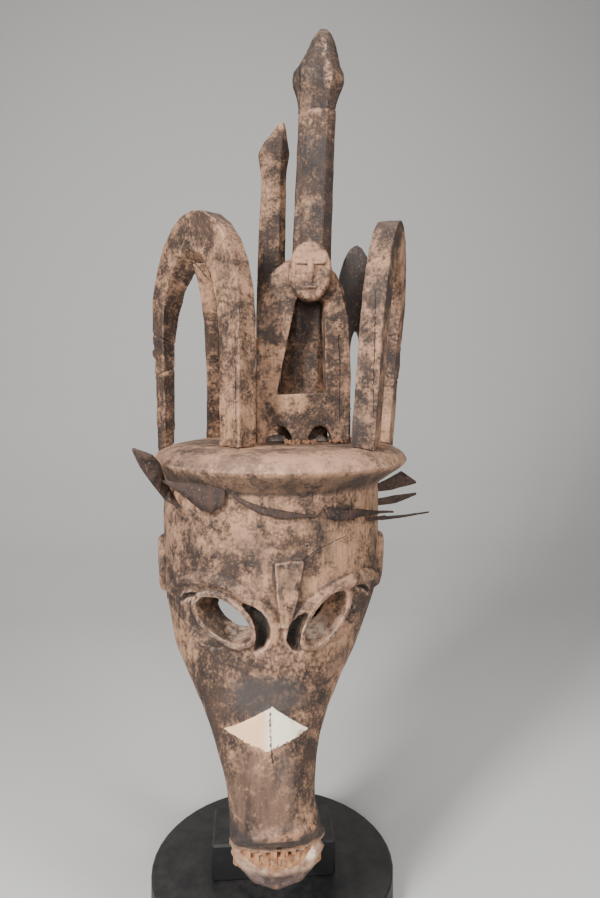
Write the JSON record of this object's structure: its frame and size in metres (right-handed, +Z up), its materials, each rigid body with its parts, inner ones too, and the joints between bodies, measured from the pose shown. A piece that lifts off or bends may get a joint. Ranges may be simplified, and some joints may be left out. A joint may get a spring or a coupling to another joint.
{
  "type": "igbo helmet mask",
  "caption": "Carved wooden helmet mask with a long snouted face, tube eyes and a crest of arches and snakes on a round platform, on a black block stand.",
  "frame": {"origin": "centre of the foot's underside, on the surface it stands on", "axes": "+Z up, the face looks along -Y, +X is to the right of someone who looks at the face"},
  "size_m": [0.3112, 0.2956, 0.9525],
  "materials": {
    "mask_wood": "aged wood, dark patina",
    "crest_wood": "aged wood, dark patina",
    "rusty_iron": "thin sheet iron, rusted",
    "stand_black": "matt black"
  },
  "bodies": {
    "root": {"mask_body": "mask_wood", "arch_left": "crest_wood", "arch_right": "crest_wood", "arch_rear": "crest_wood", "front_loop": "crest_wood", "snake_tall": "crest_wood", "snake_second": "crest_wood", "stand_foot": "stand_black", "stand_block": "stand_black", "stand_post": "stand_black", "blade_left_tip": "rusty_iron", "blade_left": "rusty_iron", "blade_front": "rusty_iron", "blade_front_right": "rusty_iron", "blade_right_low": "rusty_iron", "blade_right_long": "rusty_iron", "blade_right_tip": "rusty_iron", "blade_right_back": "rusty_iron", "blade_back_right": "rusty_iron", "blade_back_left": "rusty_iron", "blade_left_back": "rusty_iron"}
  },
  "joints": []
}
